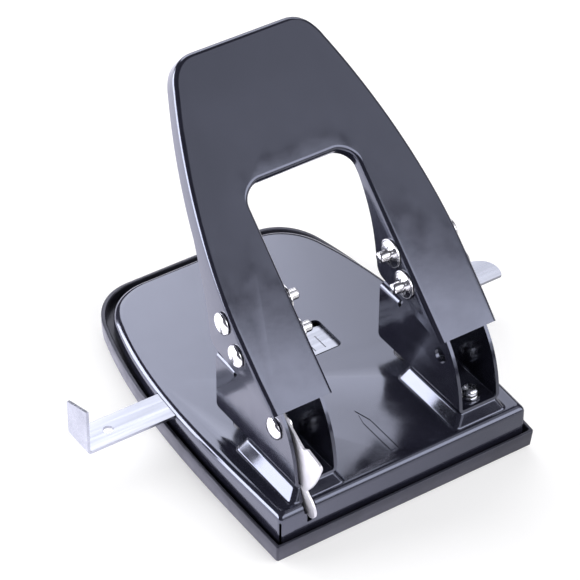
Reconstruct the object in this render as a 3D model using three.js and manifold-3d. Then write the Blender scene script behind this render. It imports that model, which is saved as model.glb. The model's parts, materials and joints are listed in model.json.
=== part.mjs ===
// Heavy duty two-hole lever punch, in millimetres, +Z up.
//
// Frame: +X runs along the line of the two holes, -Y is the hinge side, +Y is the side that the paper comes in
// from. The origin is on the table, under the middle of the whole punch. The tray is level. The pressed steel
// deck on it, with the brackets, punches and handle, slopes down to the paper side, so those pieces are made in
// a tilted deck frame: x as above, y from the hinge-side edge towards the paper, z up from the tray's lower
// hinge-side edge.

import * as THREE from 'three';
import { mergeVertices } from 'three/addons/utils/BufferGeometryUtils.js';
import Module from 'manifold-3d';

const wasm = await Module();
wasm.setup();

// ---- driving dimensions -------------------------------------------------------------------------

const GAP = 0.3;                      // gap kept between pieces that touch on the real object
const SHEET = 1.5;                    // bracket sheet
const HOLE_SPACING = 80;              // centre to centre of the two punched holes
const HALF_SPACING = HOLE_SPACING / 2;

const BASE = { halfWidth: 63.5, length: 164.6, slopeDeg: 3.4 };
const TRAY = {
  height: 8.4, wall: 1.5, floor: 1.8, ledgeWidth: 4.4, ledgeTop: 3.7, draft: 0.5, cornerRadius: 1.2,
};
const FOOT = { radius: 5.2, proud: 1.4, pocket: 1.0, inset: 9, rearInset: 17, rearHalf: 46 };

const PAN = {
  front: 2.2, rear: 158.3, halfWidth: 60.6, top: 21.3, sheet: 1.4, edgeRadius: 3.2, cornerRadius: 2.0,
  skirtGap: 4.3,
};
const PLINTH = {
  half: 10.6, footHalf: 12.5, front: 7, footFront: 5.7, rear: 44.6, footRear: 46.4, top: 27,
};
const CLIP = { xs: [-38, 38], halfWidth: 5, sheet: 1, ear: 5 };
const WINDOW = { half: 20, front: 75.6, rear: 95.5, corner: 2.5 };
const MARK = { half: 2.3, tail: 9.7, shoulder: 30.5, tip: 38.4, line: 1.05, depth: 0.3 };
const SEAM = { width: 0.9, top: 17.5 };

const BRACKET = {
  half: 10, floor: PLINTH.top + GAP, front: 7.3, wingTop: 57.3, wingFloor: 29.3, wingRear: 64.6,
};
const WEB = { foot: [16.2, 60.5], tiltDeg: 42, sheet: 1.6, length: 145.5, topHalf: 22 };
const FLANGE = { deepest: 24, deepestAt: 36 };
const OPENING = { half: 26.2, top: 88, corner: 8.5 };
const ARM = { outer: 54.4, inner: 26.2 };

const PIVOT = { y: 42.4, z: 73.3, radius: 2.4 };
const DRIVER = { y: 52.1, z: 83.1, radius: 2.4 };
const PIN = { head: 4.9, dome: 2.1, tail: 6.4, nutRadius: 6.3, nutSheet: 0.9 };
const PUNCH = { y: 56.5, radius: 3, headRadius: 4.6, headHeight: 2, tip: 30 };
const DIE = { radius: 6, height: 6 };
const SPRING = { outer: 5, inner: 3.9 };
const RIVET = { y: 22, z: 48.6, hole: 3.5, shank: 3.2, head: 4.9 };
const LATCH = {
  x: -47.1, sheet: 1.2, recess: [-49, -43.4], recessFloor: 17, slotFloor: 12.4, slotEnd: 14.2,
};
const GUIDE = {
  front: 77.7, rear: 93.1, top: 19.6, sheet: 1.2, left: -103.2, right: 106.8, tabFront: 21.5, tabRear: 16.5,
  hole: 2.3, holeFromTab: 14.2,
};
const SCREW = { shank: 2, head: 3.4, headHeight: 2.6, washer: 4.6, nut: 3.5, ys: [14, 36] };

const rad = THREE.MathUtils.degToRad;

// ---- materials ----------------------------------------------------------------------------------

const finish = {
  gloss_black: { color: 0x17161f, roughness: 0.18, metalness: 0.3 },
  tray_black: { color: 0x201f28, roughness: 0.4, metalness: 0 },
  nickel: { color: 0xd8d8de, roughness: 0.14, metalness: 1 },
  steel: { color: 0xa9aab0, roughness: 0.3, metalness: 1 },
  guide_steel: { color: 0xe4e5ea, roughness: 0.25, metalness: 1 },
  rubber: { color: 0x121214, roughness: 0.8, metalness: 0 },
};

// ---- helpers ------------------------------------------------------------------------------------

const toSolid = (geometry) => {
  const bare = geometry.clone();
  bare.deleteAttribute('normal');
  bare.deleteAttribute('uv');
  const merged = mergeVertices(bare, 1e-4);
  const corners = merged.index.array;
  const kept = [];
  for (let i = 0; i < corners.length; i += 3) {
    const [a, b, c] = corners.slice(i, i + 3);
    if (a !== b && b !== c && c !== a) kept.push(a, b, c);
  }
  return new wasm.Manifold(new wasm.Mesh({
    numProp: 3,
    vertProperties: new Float32Array(merged.attributes.position.array),
    triVerts: new Uint32Array(kept),
  }));
};

const toGeometry = (solid) => {
  const mesh = solid.getMesh();
  const geometry = new THREE.BufferGeometry();
  geometry.setAttribute('position', new THREE.BufferAttribute(new Float32Array(mesh.vertProperties), 3));
  geometry.setIndex(new THREE.BufferAttribute(new Uint32Array(mesh.triVerts), 1));
  return geometry;
};

const unite = (...solids) => solids.reduce((sum, solid) => sum.add(solid));

const points = (list) => list.map(([x, y]) => new THREE.Vector2(x, y));

// Everything below returns solids. A flat outline pushed from z0 to z1:
const extruded = (outline, z0, z1) => {
  const straight = { depth: z1 - z0, bevelEnabled: false, steps: 1 };
  return new THREE.ExtrudeGeometry(new THREE.Shape(outline), straight).translate(0, 0, z0);
};

const slab = (outline, z0, z1) => toSolid(extruded(outline, z0, z1));

// an outline in (y, z) pushed from x0 to x1
const side = (outline, x0, x1) => {
  const turn = new THREE.Matrix4().makeBasis(
    new THREE.Vector3(0, 1, 0), new THREE.Vector3(0, 0, 1), new THREE.Vector3(1, 0, 0));
  return toSolid(extruded(outline, x0, x1).applyMatrix4(turn));
};

// an outline in (x, z) pushed from y0 to y1
const section = (outline, y0, y1) => {
  const turn = new THREE.Matrix4().makeBasis(
    new THREE.Vector3(-1, 0, 0), new THREE.Vector3(0, 0, 1), new THREE.Vector3(0, 1, 0));
  return toSolid(extruded(outline.map((p) => new THREE.Vector2(-p.x, p.y)), y0, y1).applyMatrix4(turn));
};

const block = (x0, x1, y0, y1, z0, z1) => toSolid(
  new THREE.BoxGeometry(x1 - x0, y1 - y0, z1 - z0).translate((x0 + x1) / 2, (y0 + y1) / 2, (z0 + z1) / 2));

// a solid of revolution about a line along +Z or +X, from a profile of [radius, height] pairs
const lathe = (profile, segments) => new THREE.LatheGeometry(points(profile), segments);
const turned = (profile, segments = 16) => toSolid(lathe(profile, segments).rotateX(Math.PI / 2));
const turnedX = (profile) => toSolid(lathe(profile, 16).rotateZ(-Math.PI / 2));

const rodProfile = (radius, low, high) => [[0, low], [radius, low], [radius, high], [0, high]];
const ringProfile = (inner, outer, low, high) =>
  [[inner, low], [outer, low], [outer, high], [inner, high], [inner, low]];

const rod = (radius, z0, z1, segments) => turned(rodProfile(radius, z0, z1), segments);
const rodX = (radius, x0, x1) => turnedX(rodProfile(radius, x0, x1));
const ring = (inner, outer, z0, z1, segments) => turned(ringProfile(inner, outer, z0, z1), segments);
const ringX = (inner, outer, x0, x1) => turnedX(ringProfile(inner, outer, x0, x1));

// a closed skin through outlines that all have the same number of points
const loft = (rings) => {
  const count = rings[0].outline.length;
  const position = rings.flatMap(({ outline, z }) => outline.flatMap((p) => [p.x, p.y, z]));
  const index = [];
  for (let level = 0; level + 1 < rings.length; level += 1) {
    for (let i = 0; i < count; i += 1) {
      const a = level * count + i;
      const b = level * count + (i + 1) % count;
      index.push(a, b, b + count, a, b + count, a + count);
    }
  }
  const last = (rings.length - 1) * count;
  for (const [a, b, c] of THREE.ShapeUtils.triangulateShape(rings[0].outline, [])) index.push(a, c, b);
  for (const [a, b, c] of THREE.ShapeUtils.triangulateShape(rings.at(-1).outline, [])) {
    index.push(last + a, last + b, last + c);
  }
  const geometry = new THREE.BufferGeometry();
  geometry.setAttribute('position', new THREE.Float32BufferAttribute(position, 3));
  geometry.setIndex(index);
  return toSolid(geometry);
};

// an outline moved inwards by a distance, corner by corner (anticlockwise outlines)
const inset = (outline, distance) => outline.map((p, i) => {
  const before = outline.at(i - 1);
  const after = outline[(i + 1) % outline.length];
  const into = p.clone().sub(before).normalize();
  const out = after.clone().sub(p).normalize();
  const normal = new THREE.Vector2(-into.y - out.y, into.x + out.x).normalize();
  const half = Math.max(0.35, normal.x * -into.y + normal.y * into.x);
  return p.clone().addScaledVector(normal, distance / half);
});

const mirrored = (rightHalf) => {
  const left = rightHalf.map((p) => new THREE.Vector2(-p.x, p.y)).reverse();
  return [...rightHalf, ...left];
};

const curve = (p0, p1, p2, p3, divisions) =>
  new THREE.CubicBezierCurve(...points([p0, p1, p2, p3])).getPoints(divisions);

const roundedRectangle = (halfX, y0, y1, radius, divisions = 4) => {
  const outline = [];
  const corners = [[halfX, y0, -90], [halfX, y1, 0], [-halfX, y1, 90], [-halfX, y0, 180]];
  for (const [x, y, start] of corners) {
    const cx = x - Math.sign(x) * radius;
    const cy = y === y0 ? y0 + radius : y1 - radius;
    for (let k = 0; k <= divisions; k += 1) {
      const a = rad(start + 90 * k / divisions);
      outline.push(new THREE.Vector2(cx + radius * Math.cos(a), cy + radius * Math.sin(a)));
    }
  }
  return outline;
};

const shifted = (outline, dx, dy) => outline.map((p) => new THREE.Vector2(p.x + dx, p.y + dy));

// ---- the group ----------------------------------------------------------------------------------

const punchModel = new THREE.Group();
const tray = new THREE.Group();
tray.position.set(0, -BASE.length / 2, FOOT.proud);
const deck = new THREE.Group();
deck.position.set(0, -BASE.length / 2, FOOT.proud);
deck.rotation.x = -rad(BASE.slopeDeg);
const handleFrame = new THREE.Group();
handleFrame.position.set(0, ...WEB.foot);
handleFrame.rotation.x = rad(WEB.tiltDeg);
deck.add(handleFrame);
punchModel.add(tray, deck);

const add = (parent, name, look, solid, x = 0, y = 0, z = 0) => {
  const mesh = new THREE.Mesh(toGeometry(solid), new THREE.MeshStandardMaterial(finish[look]));
  mesh.name = name;
  mesh.position.set(x, y, z);
  parent.add(mesh);
};

// ---- base ---------------------------------------------------------------------------------------

// Plan outline of tray and pan: a straight hinge-side edge with tight corners, sides that swell gently and
// then close in, rounded rear corners and a straight rear edge.
const baseOutline = (half, front, rear, radius) => {
  const length = rear - front;
  const corner = curve([half - radius, front], [half - 0.4 * radius, front],
    [half, front + 0.4 * radius], [half, front + radius], 4);
  const flank = curve([half, front + radius], [half + 1.8, front + 0.3 * length],
    [half + 4.9, front + 0.61 * length], [half - 7.7, rear - 20], 12);
  const back = curve(
    [half - 7.7, rear - 20], [half - 10.4, rear - 9], [half - 18.5, rear], [half - 31, rear], 7);
  return mirrored([...corner, ...flank.slice(1), ...back.slice(1)]);
};

const trayOutline = (inward) =>
  baseOutline(BASE.halfWidth - inward, inward, BASE.length - inward, TRAY.cornerRadius);
const panOutline = (inward) =>
  baseOutline(PAN.halfWidth - inward, PAN.front + inward, PAN.rear - inward, PAN.cornerRadius);

function chipTray() {
  const body = loft([
    { outline: trayOutline(TRAY.draft), z: 0 },
    { outline: trayOutline(0), z: TRAY.height },
  ]);
  const mouth = slab(trayOutline(TRAY.wall), TRAY.ledgeTop, TRAY.height + 1);
  const well = slab(trayOutline(TRAY.wall + TRAY.ledgeWidth), TRAY.floor, TRAY.height + 1);
  const pocket = rod(FOOT.radius + GAP, -1, FOOT.pocket);
  const pockets = footPlaces().map(([x, y]) => pocket.translate([x, y, 0]));
  return body.subtract(unite(mouth, well, ...pockets));
}

function footPlaces() {
  const nearX = BASE.halfWidth - FOOT.inset;
  return [[-nearX, FOOT.inset], [nearX, FOOT.inset],
    [-FOOT.rearHalf, BASE.length - FOOT.rearInset], [FOOT.rearHalf, BASE.length - FOOT.rearInset]];
}

add(tray, 'chip_tray', 'tray_black', chipTray());
['front_left', 'front_right', 'rear_left', 'rear_right'].forEach((place, i) => {
  const foot = rod(FOOT.radius, -FOOT.proud, FOOT.pocket - GAP);
  add(tray, `foot_${place}`, 'rubber', foot, ...footPlaces()[i], 0);
});

// the pan's plan, drawn in by skin, as a slab with a rounded upper edge
const panSlab = (skin, bottom) => {
  const top = PAN.top - skin;
  const radius = PAN.edgeRadius - skin;
  const rings = [{ outline: panOutline(skin), z: bottom }];
  for (let k = 0; k <= 3; k += 1) {
    const a = Math.PI / 2 * k / 3;
    const inward = skin + radius * (1 - Math.cos(a));
    rings.push({ outline: panOutline(inward), z: top - radius * (1 - Math.sin(a)) });
  }
  return loft(rings);
};

// one raised seat for a bracket; skin is how far inside the outer surface it lies
const plinthSolid = (centre, skin) => {
  const foot = roundedRectangle(PLINTH.footHalf - skin, PLINTH.footFront + skin, PLINTH.footRear - skin, 3);
  const head = roundedRectangle(PLINTH.half - skin, PLINTH.front + skin, PLINTH.rear - skin, 2);
  return loft([
    { outline: shifted(foot, centre, 0), z: PAN.top - PAN.sheet - skin },
    { outline: shifted(foot, centre, 0), z: PAN.top - skin },
    { outline: shifted(head, centre, 0), z: PLINTH.top - skin },
  ]);
};

// pencil-shaped centre line mark: its outline, drawn in by a distance
const markOutline = (distance) => inset(points([
  [-MARK.half, MARK.tail], [MARK.half, MARK.tail], [MARK.half, MARK.shoulder], [0, MARK.tip],
  [-MARK.half, MARK.shoulder],
]), distance);

function basePan() {
  const outer = panSlab(0, -12);
  const hollow = panSlab(PAN.sheet, -13);
  const centres = [-HALF_SPACING, HALF_SPACING];
  let pan = unite(outer, ...centres.map((x) => plinthSolid(x, 0)));
  pan = pan.subtract(unite(hollow, ...centres.map((x) => plinthSolid(x, PAN.sheet))));

  // the skirt's lower edge is level, so it is cut by a plane that slopes in this frame
  const below = block(-90, 90, -40, 240, -60, 0).rotate([BASE.slopeDeg, 0, 0]);
  const cuts = [below.translate([0, 0, PAN.skirtGap])];
  for (const x of centres) {
    cuts.push(rod(DIE.radius + GAP, 15, PAN.top + 2, 20).translate([x, PUNCH.y, 0]));
    for (const y of SCREW.ys) cuts.push(rod(SCREW.shank + GAP, 20, 30).translate([x, y, 0]));
  }
  cuts.push(slab(roundedRectangle(WINDOW.half, WINDOW.front, WINDOW.rear, WINDOW.corner), 15, 25));
  const slotFloor = GUIDE.top - GUIDE.sheet - GAP;
  for (const edge of [-1, 1]) {
    cuts.push(block(-5, 5, GUIDE.front - 0.5, GUIDE.rear + 0.5, slotFloor, GUIDE.top + GAP)
      .translate([edge * PAN.halfWidth, 0, 0]));
    cuts.push(block(-SEAM.width / 2, SEAM.width / 2, -5, 5, -20, SEAM.top).rotate([0, 0, edge * 45])
      .translate([edge * PAN.halfWidth, PAN.front, 0]));
  }
  cuts.push(block(...LATCH.recess, -5, PLINTH.footFront, LATCH.recessFloor, 30));
  cuts.push(block(LATCH.x - 0.5, LATCH.x + LATCH.sheet + 0.5, -5, LATCH.slotEnd, LATCH.slotFloor, 30));
  const groove = slab(markOutline(0), PAN.top - MARK.depth, PAN.top + 1)
    .subtract(slab(markOutline(MARK.line), PAN.top - 1, PAN.top + 2));
  return pan.subtract(unite(...cuts, groove));
}

add(deck, 'base_pan', 'gloss_black', basePan());

// ---- brackets -----------------------------------------------------------------------------------

const pinHole = (at, radius, x0, x1) => rodX(radius, x0, x1).translate([0, at.y, at.z]);

// front part: floor and two cheeks that rise to the pivot pin
const cheekOutline = () => {
  const tilt = rad(WEB.tiltDeg);
  const eye = 5;
  const clearOfWeb = 3;
  const top = [WEB.foot[0] + clearOfWeb * Math.sin(tilt), WEB.foot[1] - clearOfWeb * Math.cos(tilt)];
  const outline = points([[47.6, BRACKET.wingFloor], [50.4, BRACKET.wingFloor], [50.4, 54], [48.6, 57.5]]);
  for (let deg = -10; deg <= 90 + WEB.tiltDeg; deg += 14.2) {
    outline.push(new THREE.Vector2(PIVOT.y + eye * Math.cos(rad(deg)), PIVOT.z + eye * Math.sin(rad(deg))));
  }
  const front = new THREE.QuadraticBezierCurve(...points([top, [8.6, 47], [BRACKET.front, 29]]));
  const heel = points([[BRACKET.front, BRACKET.floor], [45.8, BRACKET.floor]]);
  return [...outline, ...front.getPoints(7), ...heel];
};

// rear part: the wing over the paper throat
const wingOutline = () => points([
  [49.6, BRACKET.wingFloor], [62.8, BRACKET.wingFloor], [64.1, 30], [BRACKET.wingRear, 31.2],
  [BRACKET.wingRear, BRACKET.wingTop], [52, BRACKET.wingTop], [51.2, 55], [49.6, 53.4],
]);

// a U section as wide as the bracket, its bends rounded, closed at the bottom
const channel = (low, high) => {
  const outer = roundedRectangle(BRACKET.half, low, high + 20, 2.4);
  const inner = roundedRectangle(BRACKET.half - SHEET, low + SHEET, high + 30, 0.7);
  return section(outer, 0, 80).subtract(section(inner, -1, 81));
};

function bracket(latchSide) {
  const width = BRACKET.half + 1;
  const cheeks = channel(BRACKET.floor, 80).intersect(side(cheekOutline(), -width, width));
  const upsideDown = channel(-BRACKET.wingTop, 0).rotate([180, 0, 0]).translate([0, 80, 0]);
  const wing = upsideDown.intersect(side(wingOutline(), -width, width));
  const cuts = [
    pinHole(PIVOT, PIVOT.radius + GAP, -width, width),
    pinHole(RIVET, RIVET.hole, -width, 0),
    rod(PUNCH.radius + 0.5, 50, 60).translate([0, PUNCH.y, 0]),
    ...SCREW.ys.map((y) => rod(SCREW.shank + GAP, 25, 32).translate([0, y, 0])),
  ];
  if (latchSide) {
    const x = LATCH.x + HALF_SPACING;
    cuts.push(block(x - GAP, x + LATCH.sheet + GAP, 0, LATCH.slotEnd, 25, BRACKET.floor + SHEET + 0.6));
  }
  return cheeks.add(wing).subtract(unite(...cuts));
}

// ---- punches, dies and springs ------------------------------------------------------------------

const punchTop = DRIVER.z - DRIVER.radius - GAP;
const headUnder = punchTop - PUNCH.headHeight;
const punchPin = () => turned([
  [0, PUNCH.tip], [PUNCH.radius, PUNCH.tip], [PUNCH.radius, headUnder], [PUNCH.headRadius, headUnder],
  [PUNCH.headRadius, punchTop - 0.5], [PUNCH.headRadius - 0.5, punchTop], [0, punchTop],
]);

for (const [name, sign] of [['left', -1], ['right', 1]]) {
  const x = sign * HALF_SPACING;
  add(deck, `bracket_${name}`, 'gloss_black', bracket(name === 'left'), x);
  add(deck, `die_${name}`, 'steel',
    ring(PUNCH.radius + 0.15, DIE.radius, PAN.top - DIE.height, PAN.top + 0.15, 20), x, PUNCH.y);
  add(deck, `punch_guide_${name}`, 'steel', punchGuide(), x);
  add(deck, `punch_${name}`, 'steel', punchPin(), x, PUNCH.y);
  add(deck, `return_spring_${name}`, 'steel',
    ring(SPRING.inner, SPRING.outer, BRACKET.wingTop + GAP, headUnder - GAP), x, PUNCH.y);
  SCREW.ys.forEach((y, i) => addScrew(`${name}_${i === 0 ? 'front' : 'rear'}`, x, y));
}

function punchGuide() {
  const halfWidth = BRACKET.half - SHEET - GAP;
  return block(-halfWidth, halfWidth, 50.8, 63.4, 29.6, 32.6)
    .subtract(rod(PUNCH.radius + GAP, 25, 40).translate([0, PUNCH.y, 0]));
}

// pan head screw with a washer under it and a nut below the pan's plinth
function addScrew(place, x, y) {
  const seat = BRACKET.floor + SHEET + GAP;
  const under = seat + 0.8 + GAP;
  const top = under + SCREW.headHeight;
  const screw = turned([
    [0, 21], [SCREW.shank, 21], [SCREW.shank, under], [SCREW.head, under], [SCREW.head, under + 1],
    [SCREW.head - 0.7, top - 0.6], [1.4, top], [0, top],
  ], 14);
  add(deck, `screw_${place}`, 'nickel', screw, x, y);
  add(deck, `washer_${place}`, 'nickel', ring(SCREW.shank + GAP, SCREW.washer, seat, seat + 0.8, 14), x, y);
  add(deck, `nut_${place}`, 'steel',
    ring(SCREW.shank + GAP, SCREW.nut, 22, PLINTH.top - PAN.sheet - GAP, 6), x, y);
}

// ---- handle -------------------------------------------------------------------------------------
// Made in its own frame: x across, y up along the web from its lower edge, the web's front face at z = 0.

const handleOutline = () => {
  const foot = curve([ARM.outer - 0.6, 0], [ARM.outer - 0.3, 6], [ARM.outer, 14], [ARM.outer, 26], 4);
  const flank = curve([ARM.outer, 35], [ARM.outer, 66], [47.3, 102], [36, 133], 10);
  const shoulder = curve([36, 133], [34, 139.5], [30, WEB.length], [WEB.topHalf, WEB.length], 6);
  return mirrored([...foot, ...flank, ...shoulder.slice(1)]);
};

// the gap between the arms, open at the foot; grown outwards by a distance
const openingOutline = (grow) => {
  const half = OPENING.half + grow;
  const top = OPENING.top + grow;
  const radius = OPENING.corner + grow;
  const corner = curve([half, top - radius], [half, top - 0.45 * radius],
    [half - 0.55 * radius, top], [half - radius, top], 6);
  return mirrored([new THREE.Vector2(half, -5), ...corner]);
};

// free edge of the flanges, seen from the side: how far back they reach at each height along the web
const flangeProfile = (reach) => {
  const waist = curve([40, 23.4], [50, 16], [58, reach + 3.5], [76, reach], 6);
  return points([[-1, 1.2], [0, 1.9], [34, 23.2], [FLANGE.deepestAt, FLANGE.deepest]])
    .concat(waist, points([[150, reach - 1.2], [150, -1], [-1, -1]]));
};

function handle() {
  const depth = FLANGE.deepest + 1;
  const outline = handleOutline();
  const reach = (least) => side(
    flangeProfile(least).map((p) => new THREE.Vector2(p.x, -p.y)).reverse(), -70, 70);
  const outerWall = slab(outline, -depth, 0)
    .subtract(slab(insideOutline(outline, WEB.sheet), -depth - 1, 1)).intersect(reach(8.6));
  const innerWall = slab(openingOutline(WEB.sheet), -depth, 0).intersect(slab(outline, -depth, 0))
    .intersect(reach(5.4));
  const opening = slab(openingOutline(0), -depth - 1, 1);
  return unite(slab(outline, -WEB.sheet, 0), outerWall, innerWall)
    .subtract(unite(opening, pinHoleInHandle(PIVOT), pinHoleInHandle(DRIVER)));
}

// the outline's inside face, run on past the foot so that the channel stays open there
function insideOutline(outline, distance) {
  return inset(outline, distance).map((p) => (p.y < 3 ? new THREE.Vector2(p.x, -5) : p));
}

function pinHoleInHandle(at) {
  const place = new THREE.Vector3(0, at.y - WEB.foot[0], at.z - WEB.foot[1])
    .applyAxisAngle(new THREE.Vector3(1, 0, 0), -rad(WEB.tiltDeg));
  return rodX(at.radius + GAP, -70, 70).translate([0, place.y, place.z]);
}

add(handleFrame, 'handle', 'gloss_black', handle());

// a pin with a domed head outside each arm, its tail out of the inner flange, held by a push nut there
const domedPin = (radius) => {
  const profile = [[0, -ARM.outer - GAP - PIN.dome]];
  for (const deg of [22, 45, 68, 90]) {
    profile.push([PIN.head * Math.sin(rad(deg)), -ARM.outer - GAP - PIN.dome * Math.cos(rad(deg))]);
  }
  const tail = -ARM.inner + PIN.tail;
  profile.push([radius, -ARM.outer - GAP], [radius, tail - 0.6], [radius - 0.6, tail], [0, tail]);
  return turnedX(profile);
};

const pushNut = (radius) => {
  const base = -ARM.inner + GAP;
  const crown = base + 1.9;
  return turnedX([
    [radius + GAP, crown], [radius + GAP, base], [PIN.nutRadius, base],
    [PIN.nutRadius, base + PIN.nutSheet], [PIN.nutRadius - 1.2, base + PIN.nutSheet],
    [radius + 1.4, crown], [radius + GAP, crown],
  ]);
};

for (const [name, flip] of [['left', 0], ['right', 180]]) {
  for (const [kind, at] of [['pivot', PIVOT], ['driver', DRIVER]]) {
    add(deck, `${kind}_pin_${name}`, 'nickel', domedPin(at.radius).rotate([0, 0, flip]), 0, at.y, at.z);
    add(deck, `push_nut_${kind}_${name}`, 'nickel', pushNut(at.radius).rotate([0, 0, flip]), 0, at.y, at.z);
  }
}

// ---- latch --------------------------------------------------------------------------------------
// A flat lever on a rivet inside the left bracket. Its hook reaches back under the driver pin's path, its nose
// and thumb tab stand out at the hinge side.

const latchOutline = () => points([
  [1.8, 14.8], [4.5, 16.5], [7.2, 18], [9.4, 22.3], [10, 27.5], [15.3, 37.4], [20, 41.6],
  [26, 43.4], [34, 50.4], [44, 56.9], [55.2, 60.9], [63.6, 60.6], [64.6, 72.4], [59.1, 74.2],
  [58.9, 71.8], [61.3, 71.4], [60.9, 65.9], [55.6, 65.7], [46, 63.8], [30, 59.4], [21.5, 55.6],
  [7.1, 47.4], [3.7, 49.2], [-5.1, 47.1], [-5.6, 44.9], [-2.9, 38.3], [4.3, 27], [0.6, 24.3],
  [-2.2, 21.8], [-2.5, 20], [-0.3, 15.9],
]);

add(deck, 'latch', 'nickel',
  side(latchOutline(), LATCH.x, LATCH.x + LATCH.sheet).subtract(pinHole(RIVET, RIVET.hole, -60, -40)));

function latchRivet() {
  const headBase = -HALF_SPACING - BRACKET.half - GAP;
  const swage = LATCH.x + LATCH.sheet + 1.3;
  return turnedX([
    [0, headBase - 2], [RIVET.head * 0.5, headBase - 1.75], [RIVET.head * 0.87, headBase - 1],
    [RIVET.head, headBase], [RIVET.shank, headBase], [RIVET.shank, swage], [RIVET.head * 0.8, swage],
    [RIVET.head * 0.6, swage + 1], [0, swage + 1],
  ]);
}

add(deck, 'latch_rivet', 'nickel', latchRivet(), 0, RIVET.y, RIVET.z);
const latchFace = LATCH.x + LATCH.sheet;
add(deck, 'latch_washer', 'nickel',
  ringX(RIVET.hole, RIVET.head, latchFace + GAP, latchFace + 1), 0, RIVET.y, RIVET.z);

// ---- paper guide --------------------------------------------------------------------------------

function paperGuide() {
  const tongue = curve([GUIDE.right - 1.5, GUIDE.front], [GUIDE.right, GUIDE.front],
    [GUIDE.right, GUIDE.front + 1], [GUIDE.right, GUIDE.front + 2], 4);
  tongue.push(...curve([GUIDE.right, GUIDE.front + 2], [GUIDE.right, GUIDE.front + 9],
    [GUIDE.right - 6, GUIDE.rear], [GUIDE.right - 14, GUIDE.rear], 8).slice(1));
  const bar = slab([...points([[GUIDE.left, GUIDE.rear], [GUIDE.left, GUIDE.front]]), ...tongue],
    GUIDE.top - GUIDE.sheet, GUIDE.top);
  const tab = side(points([[GUIDE.front, GUIDE.top - GUIDE.sheet], [GUIDE.rear, GUIDE.top - GUIDE.sheet],
    [GUIDE.rear, GUIDE.top + GUIDE.tabRear], [GUIDE.front, GUIDE.top + GUIDE.tabFront]]),
  GUIDE.left, GUIDE.left + GUIDE.sheet);
  const middle = (GUIDE.front + GUIDE.rear) / 2;
  const hole = rod(GUIDE.hole, 10, 30).translate([GUIDE.left + GUIDE.holeFromTab, middle, 0]);
  return bar.add(tab).subtract(hole);
}

add(deck, 'paper_guide', 'guide_steel', paperGuide());

// two straps under the deck that the guide slides in
function guideClip() {
  const high = PAN.top - PAN.sheet - GAP;
  const low = GUIDE.top - GUIDE.sheet - GAP;
  const inner = [GUIDE.front - 2 * GAP, GUIDE.rear + 2 * GAP];
  const outer = [inner[0] - CLIP.sheet, inner[1] + CLIP.sheet];
  const ears = [GUIDE.front - CLIP.ear, GUIDE.rear + CLIP.ear];
  return side(points([
    [ears[0], high], [ears[0], high - CLIP.sheet], [outer[0], high - CLIP.sheet],
    [outer[0], low - CLIP.sheet], [outer[1], low - CLIP.sheet], [outer[1], high - CLIP.sheet],
    [ears[1], high - CLIP.sheet], [ears[1], high], [inner[1], high], [inner[1], low],
    [inner[0], low], [inner[0], high],
  ]), -CLIP.halfWidth, CLIP.halfWidth);
}

for (const [i, x] of CLIP.xs.entries()) {
  add(deck, `guide_clip_${i === 0 ? 'left' : 'right'}`, 'steel', guideClip(), x);
}

// the origin goes under the middle of the whole punch
const extent = new THREE.Box3().setFromObject(punchModel);
punchModel.position.set(-(extent.min.x + extent.max.x) / 2, -(extent.min.y + extent.max.y) / 2, 0);

export default punchModel;
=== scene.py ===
# Looks of the two-hole lever punch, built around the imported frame. Blender 4.5.
# Lengths in the shape code are millimetres in the part's own frames; the matrices below turn them
# into metres.

import json
import math

import bpy
import bmesh
from mathutils import Matrix, Vector


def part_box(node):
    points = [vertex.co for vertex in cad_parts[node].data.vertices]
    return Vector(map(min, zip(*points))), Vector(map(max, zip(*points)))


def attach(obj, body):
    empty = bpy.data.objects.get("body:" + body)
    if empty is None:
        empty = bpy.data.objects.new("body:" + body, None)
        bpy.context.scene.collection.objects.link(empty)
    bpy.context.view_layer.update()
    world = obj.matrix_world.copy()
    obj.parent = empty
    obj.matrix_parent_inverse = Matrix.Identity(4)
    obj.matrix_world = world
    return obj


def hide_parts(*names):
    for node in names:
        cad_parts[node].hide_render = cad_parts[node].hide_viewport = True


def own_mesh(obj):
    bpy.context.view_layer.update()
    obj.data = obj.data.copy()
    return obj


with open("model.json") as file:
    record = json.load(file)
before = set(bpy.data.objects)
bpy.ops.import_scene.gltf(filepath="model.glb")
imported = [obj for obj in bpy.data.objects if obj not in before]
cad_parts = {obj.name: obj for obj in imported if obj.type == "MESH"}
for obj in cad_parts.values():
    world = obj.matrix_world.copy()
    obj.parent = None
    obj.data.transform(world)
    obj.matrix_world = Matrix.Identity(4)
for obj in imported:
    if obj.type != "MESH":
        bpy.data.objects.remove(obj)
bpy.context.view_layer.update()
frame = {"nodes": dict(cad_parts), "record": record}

# ---- sizes, in millimetres -----------------------------------------------------------------------

MM = 0.001
SLOPE = math.radians(3.4)              # the deck's slope down to the paper side
WEB_TILT = math.radians(42)            # the handle's lean above the deck
SHEET = 1.5                            # bracket sheet
GAP = 0.3                              # clearance between neighbouring pieces
THROUGH = 70                           # reach of a cutter that passes right through the handle

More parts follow.
